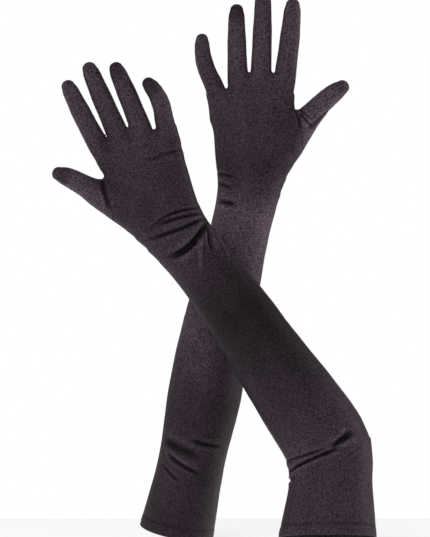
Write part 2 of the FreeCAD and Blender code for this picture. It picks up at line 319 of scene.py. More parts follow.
# For each kind of tube: mm that it blends over, mm that its corners are rounded by, and how far its
# ends bulge as a share of its radius.
ARM_TUBE, WEB_TUBE, FINGER_TUBE, THUMB_TUBE = (2, 14, 0.6), (4, 0, 0.6), (2.5, 8, 1), (11, 7, 0.9)
FAN_BLEND = 9  # mm that the fingers and webs blend into the palm over


def rounded(path, reach):
    """A path with each inner corner replaced by a short arc, reach mm or almost half a link long."""
    result = [path[0]]
    for before, corner, after in zip(path, path[1:], path[2:]):
        back, on = before - corner, after - corner
        cut = min(reach * MM, 0.45 * norm(back), 0.45 * norm(on))
        back, on = unit(back) * cut, unit(on) * cut
        result += [corner + back, corner + (back + on) / 4, corner + on]
    return result + [path[-1]]


def bowed_path(glove, digit):
    """A digit's centre line: three links that bow sideways and towards the palm about its chord."""
    reach, lean, shift, bow, _ = DIGITS[glove.name][digit.name]
    towards = digit.hinge if digit.hinge @ glove.hand_across > 0 else -digit.hinge
    face = np.cross(digit.axis, towards)
    path = [digit.base + towards * shift * MM]
    for share, turn in DIGIT_LINKS:
        axis = rotate(rotate(digit.axis, face, lean + bow * turn), digit.hinge, PALM_BEND * turn)
        path.append(path[-1] + axis * digit.length * reach * share)
    return path


def glove_field(glove):
    """The whole glove as one field."""
    tips = [digit.base + digit.axis * digit.length for digit in glove.digits.values()]
    points = np.array([glove.hem, glove.elbow, glove.wrist] + tips)
    around, below, above = FIELD_ROOM
    low, high = points.min(0) - around * MM, points.max(0) + around * MM
    low[2] = glove.hem[2] - below * MM
    high[2] = points[:, 2].max() + above * MM
    field, fan = Field(low, high), Field(low, high)

    blend, corner, cap = ARM_TUBE
    arm_path = [glove.hem, glove.elbow, glove.wrist, glove.wrist + glove.hand_axis * PALM_END * MM]
    field.sweep(rounded(arm_path, corner), glove.side, ARM_SHAPE[glove.name], blend, cap)

    blend, _, cap = WEB_TUBE
    for across, along in WEBS[glove.name]:
        start, end = glove.in_hand(across, WEB_RUN[0]), glove.in_hand(across, along - WEB_RUN[1])
        length = norm(end - start) / MM
        stations = [(share * length, *widths) for share, *widths in WEB_SHAPE]
        fan.sweep([start, end], glove.side, stations, blend, cap)

    blend, corner, cap = FINGER_TUBE
    for name in FINGERS:
        digit = glove.digits[name]
        reach, *_, size = DIGITS[glove.name][name]
        length = digit.length * reach / MM
        lead = -FINGER_TAPER[0][0] * length
        stations = [(share * length + lead, size * taper, size * taper, size * taper * FINGER_DEPTH)
                    for share, taper in FINGER_TAPER]
        path = bowed_path(glove, digit)
        path = [path[0] - digit.straight * lead * MM] + path
        fan.sweep(rounded(path, corner), glove.side, stations, blend, cap)
    field.values = soft_union(field.values, fan.values, FAN_BLEND)

    blend, corner, cap = THUMB_TUBE
    reach = DIGITS[glove.name]["thumb"][0]
    root = glove.in_hand(*THUMB_ROOT)
    path = bowed_path(glove, glove.digits["thumb"])
    lead = norm(path[0] - root) / MM
    stations = [(height * (reach if height > 0 else 1) + lead, *widths) for height, *widths in THUMB_SHAPE]
    field.sweep([root] + rounded([root] + path, corner)[1:], glove.side, stations, blend, cap)
    return field


# ---- creases

MAP_TURN = 50 * MM  # length over which the map below turns from one tube to the next


def ease(values):
    """0 to 1, with soft ends."""
    values = np.clip(values, 0, 1)
    return values * values * (3 - 2 * values)


class ArmMap:
    """Points of a glove as (distance from the hem in mm, angle round the arm in degrees).

    The angle is 0 on the side the palms face and grows towards +X."""

    def __init__(self, glove):
        self.lines = [
            (glove.hem, glove.upper_axis, 0),
            (glove.elbow, glove.fore_axis, glove.upper_length),
            (glove.wrist, glove.hand_axis, glove.upper_length + glove.fore_length),
        ]

    def __call__(self, points):
        for number, (origin, axis, start) in enumerate(self.lines):
            right = unit(np.cross(DEEP, axis))
            offset = points - origin
            front = -np.cross(axis, right)
            found = np.array([(start + offset @ axis) / MM, offset @ right, offset @ front])
            if number > 0:
                mitre = unit(self.lines[number - 1][1] + axis)
                found = before + (found - before) * ease(0.5 + (offset @ mitre) / MAP_TURN)
            before = found
        return found[0], np.degrees(np.arctan2(found[1], found[2]))


ROUND = 0.62  # mm round the sleeve for each degree, at its usual girth

# Creases of each glove: ((distance, angle) at one end, (distance, angle) at the other, half-width
# in mm, depth in mm, sag in mm of the middle towards the hem).
CREASES = {
    "left": (
        ((362, 85), (366, -58), 2, 2.3, -6), ((355, 85), (365, -50), 2.2, 2.7, -4),
        ((350, 85), (358, -66), 2.4, 3.2, 1), ((347, 84), (336, -55), 4, 4.6, 8),
        ((340, 50), (303, -12), 3, -1.9, 0), ((342, 75), (316, 42), 3.2, 2.6, 0),
        ((332, 84), (300, 62), 2.4, -1.3, 0), ((424, 84), (426, 22), 1.9, 1.4, -2),
        ((93, -88), (88, 2), 2.2, 2.6, 0), ((70, -84), (85, 12), 2.9, 4, -4),
        ((87, -4), (93, 44), 3.4, 3.4, -1), ((80, -75), (88, 40), 2.4, -1.6, -3),
        ((58, -110), (60, -62), 3.2, 1.8, 0), ((98, 140), (92, 215), 3.4, 1.8, 3),
        ((76, 135), (80, 205), 3, 1.6, -2), ((352, 145), (358, 220), 2.8, 1.6, 3),
        ((338, 160), (343, 230), 3.4, 1.7, -3),
    ),
    "right": (
        ((96, -10), (95, 44), 2.3, 2.2, 1), ((80, -42), (68, 16), 2.1, 2.6, 1),
        ((68, -50), (57, -10), 1.9, 1.9, 0), ((92, -60), (82, 12), 5, 2.2, 0),
        ((368, -95), (363, -40), 2.2, 1.8, 0), ((357, -95), (351, -45), 2.5, 1.9, 0),
        ((335, -75), (334, -28), 4, 2, 0), ((434, 92), (412, 79), 1.9, 1.8, 0),
        ((100, 130), (94, 205), 3.2, 1.8, 3), ((80, 140), (84, 215), 3, 1.7, -3),
        ((350, 150), (356, 215), 2.8, 1.7, 2), ((340, 120), (334, 190), 3.2, 1.6, -2),
    ),
}

# Tucks at the root of each thumb, on the palm side: ((across, along) in mm in the hand at one end,
# the same at the other, half-width in mm, depth in mm).
TUCKS = {
    "left": (((46.5, 80), (50.5, 50), 2.5, 2.2),),
    "right": (
        ((50, 83), (62, 72), 1.5, 1.6), ((50.5, 79), (64, 63), 1.7, 1.8),
        ((49.5, 77), (52, 62), 1.8, 1.9),
    ),
}

# Painted light and shade along each glove, for how the light falls on the satin: (mm from the hem, level).
PAINTED_LIGHT_ALONG_ARM = {
    "left": ((0, 0.93), (60, 0.88), (100, 1.03), (153, 0.68), (200, 0.43), (252, 0.26), (290, 0.52),
             (323, 0.88), (370, 0.82), (400, 0.82), (430, 0.98), (465, 1.28), (520, 1.5)),
    "right": ((0, 0.6), (60, 0.6), (135, 0.63), (197, 1.4), (260, 1.72), (300, 2), (326, 2.4),
              (350, 1.2), (375, 0.73), (410, 1.03), (445, 1.2), (480, 1.5), (540, 1.6)),
}
# Painted shade on some fingertips, which bend away from the light: the level they fall to at the tip.
PAINTED_SHADE_TIPS = {"left": {"ring": 0.65, "little": 0.5, "thumb": 0.5}, "right": {"ring": 0.5, "thumb": 0.75}}
TIP_REACH = (22, 10)  # mm from the tip where that starts, and how many mm it takes
# Painted light on each thumb.
THUMB_PAINTED_LIGHT = (0.85, 46, 14)  # share gained by the thumb, mm across the hand to its start, and its run
# Painted shade in the hem's stitched row.
HEM_ROW_PAINTED_SHADE = (0.4, 1.3)  # share lost along the hem's stitches, and half its width in mm
# Painted shade in the creases and painted highlights on their banks.
CREASE_PAINTED_SHADE = (0.94, 2.0, 0.8)  # share lost in a crease, the depth in mm for all of it, and a power
CREASE_PAINTED_HIGHLIGHT = (0.9, 0.9)  # share gained on a crease's banks, and the height in mm for all of it

# Cloth that isn't pulled tight: (grain in mm, height in mm, shift of the seed), and the share of it
# that is left on the fingers.
SLACK = ((34, 0.55, 0), (13, 0.22, 4))
FINGER_SLACK = 0.35
HEM_DIP = (0.35, 1.6)  # depth of the stitched row and half its width, in mm
HEM_PUFF = (0.25, 4)  # mm that the doubled hem stands proud, and over how many mm


def groove(first, second, start, end, width, depth, sag=0.0):
    """How far a groove between two places moves the surface out, in mm: in on its line, out on its
    banks. Its places and the surface's own are given by two measures in mm."""
    start, end = np.array(start), np.array(end)
    length = norm(end - start)
    line = (end - start) / length
    along = ((first - start[0]) * line[0] + (second - start[1]) * line[1]) / length
    sign = 1 if line[1] >= 0 else -1
    off = sign * ((first - start[0]) * line[1] - (second - start[1]) * line[0])
    off = off + sag * 4 * np.clip(along * (1 - along), 0, 1)
    fade = ease(along / 0.3 + 0.15) * ease((1 - along) / 0.3 + 0.15) * (along > -0.05) * (along < 1.05)
    shape = (off / width) ** 2
    return -depth * fade * (1 - 1.1 * shape) * np.exp(-0.85 * shape)


def on_arm_and_palm(along):
    """1 below the roots of the fingers and 0 past them; along is in mm from the wrist."""
    return ease((106 - along) / 12)


def crease_depths(glove, points):
    """How far each point of the surface moves outwards for the creases and tucks, in mm."""
    heights, angles = ArmMap(glove)(points)
    moved = np.zeros(len(heights))
    for (start_height, start_angle), (end_height, end_angle), *shape in CREASES[glove.name]:
        middle = (start_angle + end_angle) / 2
        around = ((angles - middle + 180) % 360 - 180) * ROUND
        ends = (start_height, (start_angle - middle) * ROUND), (end_height, (end_angle - middle) * ROUND)
        moved += groove(heights, around, *ends, *shape)
    offset = (points - glove.wrist) / MM
    across, along = offset @ glove.hand_across, offset @ glove.hand_axis
    moved *= on_arm_and_palm(along)
    palm_side = ease((6 - offset @ DEEP) / 10)
    for start, end, width, depth in TUCKS[glove.name]:
        moved += palm_side * groove(across, along, start, end, width, depth)
    return moved


def painted_cloth_shade(glove, points):
    """Painted light and shade on the satin at each point: along the arm, at the hem row, thumb and some tips,
    painted shade in the creases and painted highlights on their banks.
    """
    heights = ArmMap(glove)(points)[0]
    # painted light and shade along the arm
    level = np.interp(heights, *zip(*PAINTED_LIGHT_ALONG_ARM[glove.name]))
    # painted shade along the hem's stitched row
    lost, width = HEM_ROW_PAINTED_SHADE
    level *= 1 - lost * np.exp(-((heights - HEM_ROW) / width) ** 2)
    # painted light on the thumb
    gained, start, width = THUMB_PAINTED_LIGHT
    level *= 1 + gained * ease(((points - glove.wrist) @ glove.hand_across / MM - start) / width)
    # painted shade towards some fingertips
    reach, width = TIP_REACH
    for name, share in PAINTED_SHADE_TIPS[glove.name].items():
        tip = bowed_path(glove, glove.digits[name])[-1]
        level *= 1 - (1 - share) * ease((reach - norm(points - tip, axis=1) / MM) / width)
    moved = crease_depths(glove, points)
    # painted shade in the crease valleys, painted highlights on their banks
    lost, depth, power = CREASE_PAINTED_SHADE
    gained, height = CREASE_PAINTED_HIGHLIGHT
    dark, light = np.clip(-moved / depth, 0, 1) ** power, np.clip(moved / height, 0, 1)
    return level * (1 - lost * dark + gained * light)


def ripple(points, scale, seed):
    """Smooth noise between about -1 and 1 at the points; scale is its grain in mm."""
    offset = Vector((seed * 3.1, seed * 7.7, seed * 1.3))
    factor = 1 / (scale * MM)
    return np.array([noise.noise(Vector(point) * factor + offset) for point in points.tolist()])


def creased(glove, points, quads):
    """The glove's surface with its creases, slight slack and hem row pressed into it."""
    normals = surface_normals(points, quads)
    heights = ArmMap(glove)(points)[0]
    loose = on_arm_and_palm((points - glove.wrist) @ glove.hand_axis / MM)
    moved = crease_depths(glove, points)
    seed = 1.0 + (glove.side > 0)
    slack = sum(ripple(points, grain, seed + shift) * height for grain, height, shift in SLACK)
    moved += slack * (FINGER_SLACK + (1 - FINGER_SLACK) * loose)
    depth, width = HEM_DIP
    moved -= depth * np.exp(-((heights - HEM_ROW) / width) ** 2)
    height, width = HEM_PUFF
    moved += height * ease((HEM_ROW - heights) / width)
    return points + normals * (moved * MM)[:, None]


# ---- cutting the glove into its pieces

SLEEVE_ZONE = 36 * MM  # cloth this far each side of the elbow
WRIST_ZONE = 18 * MM
HAND_START = 2 * MM  # the hand's own piece starts this far past the wrist's zone
DIGIT_ZONE = 24 * MM
FOREARM_SPLIT = 0.5  # share of the forearm where the sleeve and forearm pieces meet
FOURCHETTE = (4.2, 1.2, 0.86)  # half-width in mm at the base and at the top, and its reach up the finger
BAND = 14.0  # mm of cloth turned up inside the hem
THUMB_SEAM = (0.98, 0.20)  # the way the thumb's opening faces, across and along the hand
THUMB_CROTCH = {"left": (44.7, 82.9), "right": (45.3, 86.6)}  # (across, along) in mm in the hand
FINGERS_FROM = 88  # mm past the wrist from which the surface can belong to a finger
THUMB_FROM = 25  # the same for the thumb
CUT_REACH = 5 * MM  # only faces this near a seam or split are cut by it


class Seam:
    """The plane where a digit is joined to the hand."""

    def __init__(self, glove, digit):
        webs = [np.array(web) for web in WEBS[glove.name]]
        if digit.name == "thumb":
            point, flat = THUMB_CROTCH[glove.name], THUMB_SEAM
            facing = flat[0] * glove.hand_across + flat[1] * glove.hand_axis
        elif digit.name in ("index", "little"):
            point = webs[0] if digit.name == "index" else webs[-1]
            facing = digit.straight
        else:
            number = FINGERS.index(digit.name)
            point, line = webs[number - 1], webs[number - 1] - webs[number]
            facing = unit(-line[1] * glove.hand_across + line[0] * glove.hand_axis)
        self.point = glove.in_hand(*point)
        self.normal = rotate(facing, digit.hinge, digit.curl / 2)
        self.end = self.point + self.normal * DIGIT_ZONE

    def beyond(self, points):
        """How far the points lie past the plane."""
        return (points - self.point) @ self.normal


class Gusset:
    """The fourchette in one flank of a finger: its bounding planes."""

    def __init__(self, digit, neighbour):
        self.name = f"{digit.name}_fourchette_{neighbour.name}_side"
        self.digit = digit
        towards = neighbour.base - digit.base
        self.flank = digit.hinge if towards @ digit.hinge > 0 else -digit.hinge
        wide, narrow, reach = FOURCHETTE
        self.top = digit.length * reach
        self.slope = (wide - narrow) * MM / self.top
        self.wide = wide * MM
        self.planes = [(digit.base + digit.axis * self.top, digit.axis)]
        for sign in (1, -1):
            normal = unit(sign * digit.palmward + self.slope * digit.axis)
            self.planes.append((digit.base + sign * digit.palmward * self.wide, normal))

    def holds(self, points):
        """Which points lie in it."""
        offset = points - self.digit.base
        along = offset @ self.digit.axis
        half = self.wide - self.slope * along
        within = np.abs(offset @ self.digit.palmward) < half
        return within & (along < self.top) & (offset @ self.flank > 0)


def distance_to_path(points, path):
    """The distance from each point to a bent line."""
    best = np.full(len(points), np.inf)
    for start, end in zip(path, path[1:]):
        line = end - start
        share = np.clip((points - start) @ line / (line @ line), 0, 1)
        best = np.minimum(best, norm(points - start - share[:, None] * line, axis=1))
    return best


class CutPlan:
    """Which piece of the glove each part of the surface belongs to, and the planes between them."""

    def __init__(self, glove):
        self.glove = glove
        self.seams = {name: Seam(glove, digit) for name, digit in glove.digits.items()}
        self.gussets = []
        for first, second in zip(FINGERS, FINGERS[1:]):
            a, b = glove.digits[first], glove.digits[second]
            self.gussets += [Gusset(a, b), Gusset(b, a)]
        self.forearm_cut = glove.elbow + glove.fore_axis * glove.fore_length * FOREARM_SPLIT
        self.hand_cut = glove.wrist + glove.hand_axis * (WRIST_ZONE + HAND_START)

    def owner(self, points):
        """The number of the digit nearest to each point, or -1 on the arm and the heel of the hand."""
        digits = [self.glove.digits[name] for name in FINGERS]
        paths = [bowed_path(self.glove, digit) for digit in digits]
        nearest = np.argmin([distance_to_path(points, path) for path in paths], axis=0)
        offset = (points - self.glove.wrist) / MM
        across, along = offset @ self.glove.hand_across, offset @ self.glove.hand_axis
        crotch_across, crotch_along = THUMB_CROTCH[self.glove.name]
        nearest[along < FINGERS_FROM] = -1
        outside = across > crotch_across - 0.1 + np.maximum(along - crotch_along, 0)
        thumb = (self.seams["thumb"].beyond(points) > -6 * MM) & outside & (along > THUMB_FROM)
        nearest[thumb] = len(FINGERS)
        return nearest

    def labels(self, points):
        """The piece that each point belongs to."""
        names = np.full(len(points), "hand", dtype=object)
        names[(points - self.hand_cut) @ self.glove.hand_axis < 0] = "forearm"
        names[(points - self.forearm_cut) @ self.glove.fore_axis < 0] = "sleeve"
        owner = self.owner(points)
        for number, name in enumerate(DIGIT_NAMES):
            mine = (owner == number) & (self.seams[name].beyond(points) > 0)
            names[mine] = name
            for gusset in self.gussets:
                if gusset.digit.name == name:
                    names[mine & gusset.holds(points)] = gusset.name
        return names


def face_centres(bm):
    """The middles of a bmesh's faces."""
    return np.array([face.calc_center_median()[:] for face in bm.faces])


def edges_round(face):
    """A face's edges in order, each as two points."""
    return zip(face, face[1:] + face[:1])


def edge_labels(faces, labels):
    """Every edge, in its face's direction, with the label of that face."""
    return {edge: label for face, label in zip(faces, labels) for edge in edges_round(face)}


def without_islands(faces, labels):
    """The labels with each patch that is cut off from its piece given to the piece around it."""
    holder = edge_labels(faces, range(len(faces)))
    patches, done = {}, set()
    for first in range(len(faces)):
        if first in done:
            continue
        done.add(first)
        patch, around = [first], []
        for number in patch:
            for a, b in edges_round(faces[number]):
                other = holder.get((b, a))
                if other is not None and labels[other] != labels[first]:
                    around.append(labels[other])
                elif other is not None and other not in done:
                    done.add(other)
                    patch.append(other)
        patches.setdefault(labels[first], []).append((patch, around))
    for found in patches.values():
        found.sort(key=lambda item: len(item[0]))
        for patch, around in found[:-1]:
            labels[patch] = max(sorted(set(around)), key=around.count)
    return labels


def slice_faces(bm, chosen, point, normal, clear=False):
    """Splits the chosen faces along a plane. With clear, what lies below it is removed."""
    faces = [face for face, wanted in zip(bm.faces, chosen) if wanted]
    geometry = dict.fromkeys(faces)  # a dict, since the order of a set of them differs from run to run
    for face in faces:
        geometry.update(dict.fromkeys([*face.edges, *face.verts]))
    bmesh.ops.bisect_plane(bm, geom=list(geometry), dist=0.05 * MM, plane_co=Vector(point),
                           plane_no=Vector(normal), clear_inner=clear)


def cut_surface(glove, plan, points, quads):
    """The surface with an edge along every seam and split: points, faces, and each face's piece."""
    mesh = bpy.data.meshes.new("surface")
    mesh.from_pydata(points.tolist(), [], quads.tolist())
    bm = bmesh.new()
    bm.from_mesh(mesh)
    bpy.data.meshes.remove(mesh)
    slice_faces(bm, [True] * len(bm.faces), glove.hem, glove.upper_axis, clear=True)
    across_arm = (
        (glove.hem + glove.upper_axis * BAND * MM, glove.upper_axis),
        (plan.forearm_cut, glove.fore_axis),
        (plan.hand_cut, glove.hand_axis),
    )
    for point, normal in across_arm:
        near = np.abs((face_centres(bm) - point) @ normal) < CUT_REACH
        slice_faces(bm, near, point, normal)
    for number, name in enumerate(DIGIT_NAMES):
        seam = plan.seams[name]
        centres = face_centres(bm)
        mine = (plan.owner(centres) == number) & (np.abs(seam.beyond(centres)) < CUT_REACH)
        slice_faces(bm, mine, seam.point, seam.normal)
    for gusset in plan.gussets:
        for point, normal in gusset.planes:
            centres = face_centres(bm)
            offset = centres - gusset.digit.base
            mine = plan.owner(centres) == FINGERS.index(gusset.digit.name)
            mine &= (offset @ gusset.flank > 0) & (offset @ gusset.digit.axis < gusset.top + 4 * MM)
            mine &= plan.seams[gusset.digit.name].beyond(centres) > -0.5 * MM
            slice_faces(bm, mine, point, normal)
    bm.verts.index_update()
    faces = [[vert.index for vert in face.verts] for face in bm.faces]
    points = np.array([vert.co[:] for vert in bm.verts])
    labels = without_islands(faces, plan.labels(face_centres(bm)))
    bm.free()
    return points, faces, labels


def mesh_normals(points, faces):
    """Normals at the points of a surface of mixed polygons."""
    mesh = bpy.data.meshes.new("normals")
    mesh.from_pydata(points.tolist(), [], faces)
    normals = np.zeros(len(points) * 3, np.float32)
    mesh.vertex_normals.foreach_get("vector", normals)
    bpy.data.meshes.remove(mesh)
    return normals.reshape(-1, 3).astype(float)


# ---- making the objects

def add_object(name, data):
    """A new object in the scene."""
    item = bpy.data.objects.new(name, data)
    bpy.context.scene.collection.objects.link(item)
    return item


def new_object(name, points, faces, material, normals=None, smooth_faces=None, painted_shade=None):
    """An object from points and faces, with its rest positions and painted light and shade kept for the material.
    """
    mesh = bpy.data.meshes.new(name)
    mesh.from_pydata(points.tolist(), [], faces)
    mesh.update()
    rest = mesh.attributes.new("rest", "FLOAT_VECTOR", "POINT")
    rest.data.foreach_set("vector", points.astype(np.float32).ravel())
    lustre = mesh.attributes.new("lustre", "FLOAT", "POINT")
    lustre.data.foreach_set("value", np.ones(len(points)) if painted_shade is None else painted_shade)
    mesh.polygons.foreach_set("use_smooth", smooth_faces or [True] * len(faces))
    if normals is not None:
        mesh.normals_split_custom_set(normals.tolist())
    mesh.materials.append(material)
    return add_object(name, mesh)


def shell(name, points, normals, painted_shade, faces, material, drop=0.0):
    """Some faces of the surface as cloth with thickness, drop below the surface."""
    used = sorted({index for face in faces for index in face})
    place = {index: number for number, index in enumerate(used)}
    outer = points[used] - normals[used] * drop
    inner = outer - normals[used] * CLOTH
    count = len(used)
    top = [[place[index] for index in face] for face in faces]
    under = [[index + count for index in reversed(face)] for face in top]
    directed = {edge for face in top for edge in edges_round(face)}
    rim = [[b, a, a + count, b + count] for a, b in directed if (b, a) not in directed]
    corners = [index for face in top + under for index in face]
    both = np.vstack([normals[used], -normals[used]])
    loop_normals = np.vstack([both[corners], np.zeros((4 * len(rim), 3))])
    flags = [True] * (len(top) + len(under)) + [False] * len(rim)
    return new_object(name, np.vstack([outer, inner]), top + under + rim, material, loop_normals, flags,
                      np.tile(painted_shade[used], 2))


def cord(path, radius, sides=6):
    """A round thread along a path, drawn in at its two ends: points and faces."""
    path = np.array(path)
    tangents = np.gradient(path, axis=0)
    tangents /= norm(tangents, axis=1)[:, None]
    first = unit(np.cross(tangents[0], DEEP) + 1e-6)
    points, faces = [], []
    for number, (centre, tangent) in enumerate(zip(path, tangents)):
        first = unit(first - tangent * (first @ tangent))
        second = np.cross(tangent, first)
        size = radius * (CORD_END if number in (0, len(path) - 1) else 1.0)
        for step in range(sides):
            angle = 2 * math.pi * step / sides
            points.append(centre + size * (first * math.cos(angle) + second * math.sin(angle)))
    for low in range(0, len(points) - sides, sides):
        for step in range(sides):
            a, b = low + step, low + (step + 1) % sides
            faces.append([a, b, b + sides, a + sides])
    faces.append(list(range(sides))[::-1])
    faces.append(list(range(len(points) - sides, len(points))))
    return np.array(points), faces


def joined(parts):
    """Several (points, faces) as one."""
    points, faces, count = [], [], 0
    for some_points, some_faces in parts:
        points.append(some_points)
        faces += [[index + count for index in face] for face in some_faces]
        count += len(some_points)
    return np.vstack(points), faces


# ---- materials

# Painted sheen towards the edges and painted shade at the rim, by how the satin faces the camera.
FACING_PAINTED_SHEEN = ((0.0, 0.62), (0.55, 0.80), (0.86, 1.0), (1.0, 0.25))  # satin's level from face on to edge on
SPECULAR_TINT = (1.0, 0.78, 0.95, 1)
CLOUD = 0.12  # how much the broad clouds shift the fine grain


def new_material(name):
    """A material with its node tree and shader."""
    material = bpy.data.materials.new(name)
    material.use_nodes = True
    return material, material.node_tree, material.node_tree.nodes["Principled BSDF"]


def connect(tree, node, inputs):
    """Sets a node's inputs, each to a value or to another node's output."""
    for key, value in inputs.items():
        if isinstance(value, bpy.types.NodeSocket):
            tree.links.new(value, node.inputs[key])
        else:
            node.inputs[key].default_value = value


def add_node(tree, kind, inputs=None, output=0, **settings):
    """One output of a new node with the given inputs and settings."""
    node = tree.nodes.new("ShaderNode" + kind)
    for name, value in settings.items():
        setattr(node, name, value)
    connect(tree, node, inputs or {})
    return node.outputs[output]


def add_ramp(tree, source, *stops):
    """A colour ramp through (position, colour) stops; a colour can be one grey level."""
    node = tree.nodes.new("ShaderNodeValToRGB")
    connect(tree, node, {"Fac": source})
    elements = node.color_ramp.elements
    for number, (position, colour) in enumerate((stops[0], stops[-1]) + stops[1:-1]):
        stop = elements[number] if number < 2 else elements.new(position)
        stop.position = position
        stop.color = (*(colour if isinstance(colour, tuple) else (colour,) * 3), 1)
    return node.outputs["Color"]


def cloth_material(name, dark, light, roughness, grain_scale, grain_strength, bump_height):
    """A procedural cloth: fine grain between two colours, scaled by a painted sheen and edge shade from how it
    faces and by the painted light and shade on its surface.
    """
    material, tree, shader = new_material(name)
    place = add_node(tree, "Attribute", output="Vector", attribute_name="rest")
    fine = {"Vector": place, "Scale": grain_scale, "Detail": 3.0, "Roughness": 0.65}
    grain = add_node(tree, "TexNoise", fine)
    cloud = add_node(tree, "TexNoise", {"Vector": place, "Scale": 22.0, "Detail": 2.0})
    mixed = add_node(tree, "Math", {0: cloud, 1: CLOUD, 2: grain}, operation="MULTIPLY_ADD")
    centred = add_node(tree, "Math", {0: mixed, 1: CLOUD / 2}, operation="SUBTRACT")
    colour = add_ramp(tree, centred, (0.5 - grain_strength, dark), (0.5 + grain_strength, light))
    # painted sheen and rim shade from how the surface faces the camera
    facing = add_ramp(tree, add_node(tree, "LayerWeight", {"Blend": 0.5}, "Facing"), *FACING_PAINTED_SHEEN)
    # the painted light and shade stored on the surface
    lustre = add_node(tree, "Attribute", output="Fac", attribute_name="lustre")
    level = add_node(tree, "Math", {0: facing, 1: lustre}, operation="MULTIPLY")
    connect(tree, shader, {
        "Base Color": add_node(tree, "VectorMath", {0: colour, "Scale": level}, operation="SCALE"),
        "Normal": add_node(tree, "Bump", {"Height": grain, "Strength": 0.5, "Distance": bump_height}),
        "Roughness": roughness,
        "Specular IOR Level": 0.14,
        "Specular Tint": SPECULAR_TINT,
    })
    return material


BLACK = (0.010, 0.007, 0.009)
satin = cloth_material("black_satin", BLACK, (0.118, 0.083, 0.106), 0.5, 640.0, 0.15, 0.2 * MM)
thread = cloth_material("black_thread", BLACK, (0.030, 0.022, 0.028), 0.6, 2600.0, 0.2, 0.1 * MM)


# ---- building each glove

SIDE_SEAM_ANGLE = 94.0  # the side seam lies just behind the little finger's flank
SIDE_SEAM_END = 92  # mm past the wrist, at the root of the little finger
SIDE_SEAM_STEP = 3  # mm
THREAD = 0.42 * MM
CORD_END = 0.35  # a thread's size at its ends, as a share
STITCHES = 68
STITCH_LENGTH = 2.4 * MM
STITCH_BEND = (0, 0.2, 0.5, 0.8, 1)
HEM_ACROSS = 84  # mm, the hem's mean width
BAND_GAP = 0.1 * MM  # between the sleeve's cloth and the turned-up band
SEAM_DEPTH = 0.4 * MM  # how far a sewn edge is pulled down
SEAM_PAINTED_SHADE = {"fourchette": 0.8, "thumb": 0.3}  # painted shade along each pressed seam: the share of the level left along it


class Surface:
    """The finished surface of a glove, to lay threads on."""

    def __init__(self, glove, points, faces):
        self.arm = ArmMap(glove)
        self.tree = BVHTree.FromPolygons(points.tolist(), faces)

    def at(self, height, angle):
        """The surface point at a distance from the hem (mm) and an angle round the arm (degrees)."""
        for number, (origin, axis, start) in enumerate(self.arm.lines):
            sideways = unit(np.cross(DEEP, axis))
            found = origin + axis * (height * MM - start), sideways, -np.cross(axis, sideways)
            if number == 0:
                centre, right, front = found
                continue
            past = ease(0.5 + (height * MM - start) / MAP_TURN)
            centre = found[0] if height * MM > start else centre
            right, front = right + (found[1] - right) * past, front + (found[2] - front) * past
        way = unit(right * math.sin(math.radians(angle)) + front * math.cos(math.radians(angle)))
        return np.array(self.tree.ray_cast(Vector(centre), Vector(way), 150 * MM)[0])


def edge_loop(faces, labels, points, inside):
    """The longest chain of edges between the faces of one piece and all the others, in order."""
    owner = edge_labels(faces, labels)
    links = {a: b for (a, b), label in owner.items() if label == inside != owner.get((b, a), inside)}
    best = []
    while links:
        chain = [next(iter(links))]
        while chain[-1] in links:
            chain.append(links.pop(chain[-1]))
        if len(chain) > len(best):
            best = chain
    return points[best]


def eased_path(path, rounds, closed):
    """A path with its jags evened out."""
    for step in range(rounds):
        before, after = np.roll(path, 1, axis=0), np.roll(path, -1, axis=0)
        if not closed:
            before[0], after[-1] = path[0], path[-1]
        path = (before + 2 * path + after) / 4
    return path


def pressed_seams(points, faces, labels, normals, painted_shade):
    """Lowers the line along each sewn edge, as its thread pulls the cloth down, and paints shade into that groove.
    """
    pressed = {}
    owner = edge_labels(faces, labels)
    for (a, b), label in owner.items():
        other = owner.get((b, a), label)
        if label != other and ("fourchette" in label + other or {label, other} == {"hand", "thumb"}):
            level = SEAM_PAINTED_SHADE["fourchette" if "fourchette" in label + other else "thumb"]
            pressed.update({a: level, b: level})
    depth = np.zeros(len(points))
    depth[list(pressed)] = SEAM_DEPTH
    painted_shade = painted_shade.copy()
    # painted shade along the pressed seams
    painted_shade[list(pressed)] *= list(pressed.values())
    return points - normals * depth[:, None], painted_shade


